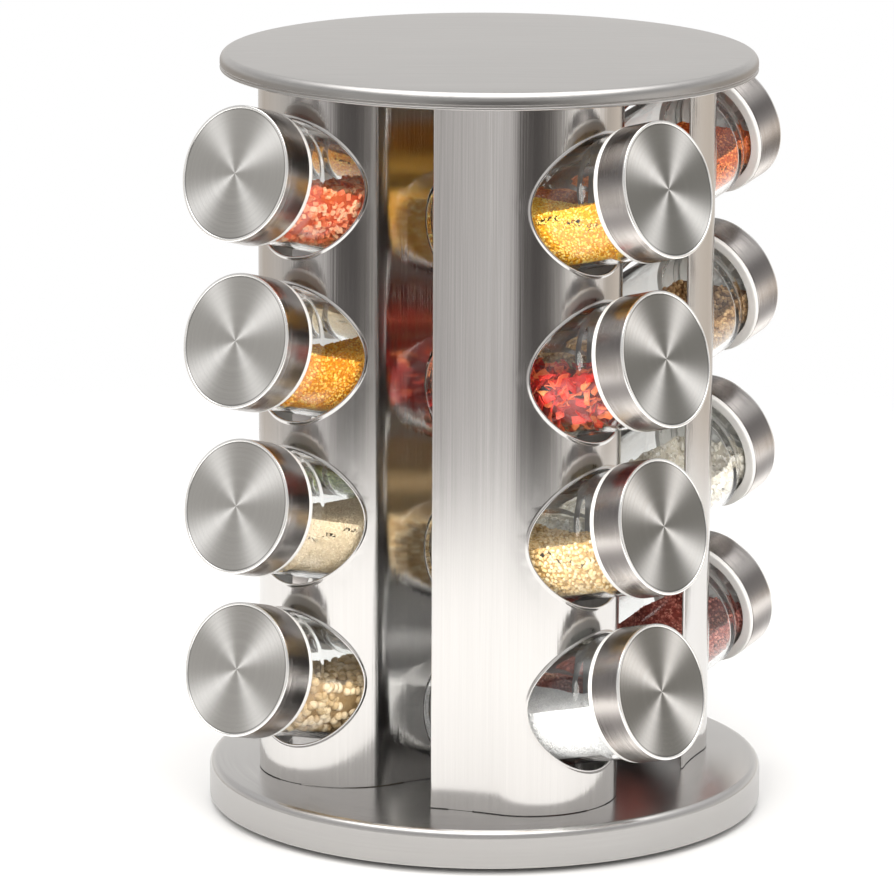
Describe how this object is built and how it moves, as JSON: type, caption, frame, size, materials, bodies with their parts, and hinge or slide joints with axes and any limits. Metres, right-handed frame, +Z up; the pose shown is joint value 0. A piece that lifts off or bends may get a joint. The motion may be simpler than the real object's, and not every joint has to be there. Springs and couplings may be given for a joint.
{
  "type": "revolving spice rack",
  "caption": "Revolving spice carousel: round steel pan on a swivel foot, upright bent-sheet columns whose round holes hold tilted glass jars with brushed steel caps, and a round lid.",
  "frame": {"origin": "on the surface that the carousel stands on, under the centre of the foot", "axes": "+Z up along the swivel axis; column 1 faces between +X and -Y"},
  "size_m": [0.2114, 0.2114, 0.275],
  "materials": {
    "pan_steel": "brushed, bright rolled edge",
    "column_steel": "glossy, fine upright brushing",
    "lid_steel": "satin, bright rolled edge",
    "cap_steel": "brushed in circles",
    "clear_glass": "clear, polished",
    "liner_plastic": "pale, moulded",
    "black_plastic": "moulded black",
    "foot_rubber": "matt"
  },
  "bodies": {
    "foot": {"foot_ring": "foot_rubber", "foot_disc": "black_plastic", "centre_rivet": "pan_steel"},
    "ball_cage": {"ball_cage": "black_plastic"},
    "rack": {"race_disc": "black_plastic", "base_pan": "pan_steel", "column_1": "column_steel", "column_2": "column_steel", "column_3": "column_steel", "column_4": "column_steel", "lid_plate": "lid_steel", "top_lid": "lid_steel"},
    "jar_c1_r1": {"jar_c1_r1": "clear_glass"},
    "cap_c1_r1": {"cap_shell_c1_r1": "cap_steel", "cap_liner_c1_r1": "liner_plastic"},
    "jar_c1_r2": {"jar_c1_r2": "clear_glass"},
    "cap_c1_r2": {"cap_shell_c1_r2": "cap_steel", "cap_liner_c1_r2": "liner_plastic"},
    "jar_c1_r3": {"jar_c1_r3": "clear_glass"},
    "cap_c1_r3": {"cap_shell_c1_r3": "cap_steel", "cap_liner_c1_r3": "liner_plastic"},
    "jar_c1_r4": {"jar_c1_r4": "clear_glass"},
    "cap_c1_r4": {"cap_shell_c1_r4": "cap_steel", "cap_liner_c1_r4": "liner_plastic"},
    "jar_c2_r1": {"jar_c2_r1": "clear_glass"},
    "cap_c2_r1": {"cap_shell_c2_r1": "cap_steel", "cap_liner_c2_r1": "liner_plastic"},
    "jar_c2_r2": {"jar_c2_r2": "clear_glass"},
    "cap_c2_r2": {"cap_shell_c2_r2": "cap_steel", "cap_liner_c2_r2": "liner_plastic"},
    "jar_c2_r3": {"jar_c2_r3": "clear_glass"},
    "cap_c2_r3": {"cap_shell_c2_r3": "cap_steel", "cap_liner_c2_r3": "liner_plastic"},
    "jar_c2_r4": {"jar_c2_r4": "clear_glass"},
    "cap_c2_r4": {"cap_shell_c2_r4": "cap_steel", "cap_liner_c2_r4": "liner_plastic"},
    "jar_c3_r1": {"jar_c3_r1": "clear_glass"},
    "cap_c3_r1": {"cap_shell_c3_r1": "cap_steel", "cap_liner_c3_r1": "liner_plastic"},
    "jar_c3_r2": {"jar_c3_r2": "clear_glass"},
    "cap_c3_r2": {"cap_shell_c3_r2": "cap_steel", "cap_liner_c3_r2": "liner_plastic"},
    "jar_c3_r3": {"jar_c3_r3": "clear_glass"},
    "cap_c3_r3": {"cap_shell_c3_r3": "cap_steel", "cap_liner_c3_r3": "liner_plastic"},
    "jar_c3_r4": {"jar_c3_r4": "clear_glass"},
    "cap_c3_r4": {"cap_shell_c3_r4": "cap_steel", "cap_liner_c3_r4": "liner_plastic"},
    "jar_c4_r1": {"jar_c4_r1": "clear_glass"},
    "cap_c4_r1": {"cap_shell_c4_r1": "cap_steel", "cap_liner_c4_r1": "liner_plastic"},
    "jar_c4_r2": {"jar_c4_r2": "clear_glass"},
    "cap_c4_r2": {"cap_shell_c4_r2": "cap_steel", "cap_liner_c4_r2": "liner_plastic"},
    "jar_c4_r3": {"jar_c4_r3": "clear_glass"},
    "cap_c4_r3": {"cap_shell_c4_r3": "cap_steel", "cap_liner_c4_r3": "liner_plastic"},
    "jar_c4_r4": {"jar_c4_r4": "clear_glass"},
    "cap_c4_r4": {"cap_shell_c4_r4": "cap_steel", "cap_liner_c4_r4": "liner_plastic"}
  },
  "joints": [
    {"name": "rack_turn", "type": "hinge", "parent": "foot", "child": "rack", "pos_m": [0, 0, 0], "axis": [0, 0, 1], "continuous": true},
    {"name": "ball_cage_turn", "type": "hinge", "parent": "foot", "child": "ball_cage", "pos_m": [0, 0, 0], "axis": [0, 0, 1], "continuous": true},
    {"name": "jar_slide_c1_r1", "type": "slide", "parent": "rack", "child": "jar_c1_r1", "axis": [0.7453, -0.6144, 0.2588], "range_m": [0, 0.11]},
    {"name": "cap_lift_c1_r1", "type": "slide", "parent": "jar_c1_r1", "child": "cap_c1_r1", "axis": [0.7453, -0.6144, 0.2588], "range_m": [0, 0.03]},
    {"name": "jar_slide_c1_r2", "type": "slide", "parent": "rack", "child": "jar_c1_r2", "axis": [0.7453, -0.6144, 0.2588], "range_m": [0, 0.11]},
    {"name": "cap_lift_c1_r2", "type": "slide", "parent": "jar_c1_r2", "child": "cap_c1_r2", "axis": [0.7453, -0.6144, 0.2588], "range_m": [0, 0.03]},
    {"name": "jar_slide_c1_r3", "type": "slide", "parent": "rack", "child": "jar_c1_r3", "axis": [0.7453, -0.6144, 0.2588], "range_m": [0, 0.11]},
    {"name": "cap_lift_c1_r3", "type": "slide", "parent": "jar_c1_r3", "child": "cap_c1_r3", "axis": [0.7453, -0.6144, 0.2588], "range_m": [0, 0.03]},
    {"name": "jar_slide_c1_r4", "type": "slide", "parent": "rack", "child": "jar_c1_r4", "axis": [0.7453, -0.6144, 0.2588], "range_m": [0, 0.11]},
    {"name": "cap_lift_c1_r4", "type": "slide", "parent": "jar_c1_r4", "child": "cap_c1_r4", "axis": [0.7453, -0.6144, 0.2588], "range_m": [0, 0.03]},
    {"name": "jar_slide_c2_r1", "type": "slide", "parent": "rack", "child": "jar_c2_r1", "axis": [0.6144, 0.7453, 0.2588], "range_m": [0, 0.11]},
    {"name": "cap_lift_c2_r1", "type": "slide", "parent": "jar_c2_r1", "child": "cap_c2_r1", "axis": [0.6144, 0.7453, 0.2588], "range_m": [0, 0.03]},
    {"name": "jar_slide_c2_r2", "type": "slide", "parent": "rack", "child": "jar_c2_r2", "axis": [0.6144, 0.7453, 0.2588], "range_m": [0, 0.11]},
    {"name": "cap_lift_c2_r2", "type": "slide", "parent": "jar_c2_r2", "child": "cap_c2_r2", "axis": [0.6144, 0.7453, 0.2588], "range_m": [0, 0.03]},
    {"name": "jar_slide_c2_r3", "type": "slide", "parent": "rack", "child": "jar_c2_r3", "axis": [0.6144, 0.7453, 0.2588], "range_m": [0, 0.11]},
    {"name": "cap_lift_c2_r3", "type": "slide", "parent": "jar_c2_r3", "child": "cap_c2_r3", "axis": [0.6144, 0.7453, 0.2588], "range_m": [0, 0.03]},
    {"name": "jar_slide_c2_r4", "type": "slide", "parent": "rack", "child": "jar_c2_r4", "axis": [0.6144, 0.7453, 0.2588], "range_m": [0, 0.11]},
    {"name": "cap_lift_c2_r4", "type": "slide", "parent": "jar_c2_r4", "child": "cap_c2_r4", "axis": [0.6144, 0.7453, 0.2588], "range_m": [0, 0.03]},
    {"name": "jar_slide_c3_r1", "type": "slide", "parent": "rack", "child": "jar_c3_r1", "axis": [-0.7453, 0.6144, 0.2588], "range_m": [0, 0.11]},
    {"name": "cap_lift_c3_r1", "type": "slide", "parent": "jar_c3_r1", "child": "cap_c3_r1", "axis": [-0.7453, 0.6144, 0.2588], "range_m": [0, 0.03]},
    {"name": "jar_slide_c3_r2", "type": "slide", "parent": "rack", "child": "jar_c3_r2", "axis": [-0.7453, 0.6144, 0.2588], "range_m": [0, 0.11]},
    {"name": "cap_lift_c3_r2", "type": "slide", "parent": "jar_c3_r2", "child": "cap_c3_r2", "axis": [-0.7453, 0.6144, 0.2588], "range_m": [0, 0.03]},
    {"name": "jar_slide_c3_r3", "type": "slide", "parent": "rack", "child": "jar_c3_r3", "axis": [-0.7453, 0.6144, 0.2588], "range_m": [0, 0.11]},
    {"name": "cap_lift_c3_r3", "type": "slide", "parent": "jar_c3_r3", "child": "cap_c3_r3", "axis": [-0.7453, 0.6144, 0.2588], "range_m": [0, 0.03]},
    {"name": "jar_slide_c3_r4", "type": "slide", "parent": "rack", "child": "jar_c3_r4", "axis": [-0.7453, 0.6144, 0.2588], "range_m": [0, 0.11]},
    {"name": "cap_lift_c3_r4", "type": "slide", "parent": "jar_c3_r4", "child": "cap_c3_r4", "axis": [-0.7453, 0.6144, 0.2588], "range_m": [0, 0.03]},
    {"name": "jar_slide_c4_r1", "type": "slide", "parent": "rack", "child": "jar_c4_r1", "axis": [-0.6144, -0.7453, 0.2588], "range_m": [0, 0.11]},
    {"name": "cap_lift_c4_r1", "type": "slide", "parent": "jar_c4_r1", "child": "cap_c4_r1", "axis": [-0.6144, -0.7453, 0.2588], "range_m": [0, 0.03]},
    {"name": "jar_slide_c4_r2", "type": "slide", "parent": "rack", "child": "jar_c4_r2", "axis": [-0.6144, -0.7453, 0.2588], "range_m": [0, 0.11]},
    {"name": "cap_lift_c4_r2", "type": "slide", "parent": "jar_c4_r2", "child": "cap_c4_r2", "axis": [-0.6144, -0.7453, 0.2588], "range_m": [0, 0.03]},
    {"name": "jar_slide_c4_r3", "type": "slide", "parent": "rack", "child": "jar_c4_r3", "axis": [-0.6144, -0.7453, 0.2588], "range_m": [0, 0.11]},
    {"name": "cap_lift_c4_r3", "type": "slide", "parent": "jar_c4_r3", "child": "cap_c4_r3", "axis": [-0.6144, -0.7453, 0.2588], "range_m": [0, 0.03]},
    {"name": "jar_slide_c4_r4", "type": "slide", "parent": "rack", "child": "jar_c4_r4", "axis": [-0.6144, -0.7453, 0.2588], "range_m": [0, 0.11]},
    {"name": "cap_lift_c4_r4", "type": "slide", "parent": "jar_c4_r4", "child": "cap_c4_r4", "axis": [-0.6144, -0.7453, 0.2588], "range_m": [0, 0.03]}
  ],
  "couplings": [
    {"joint": "ball_cage_turn", "follows": "rack_turn", "ratio": 0.5}
  ]
}
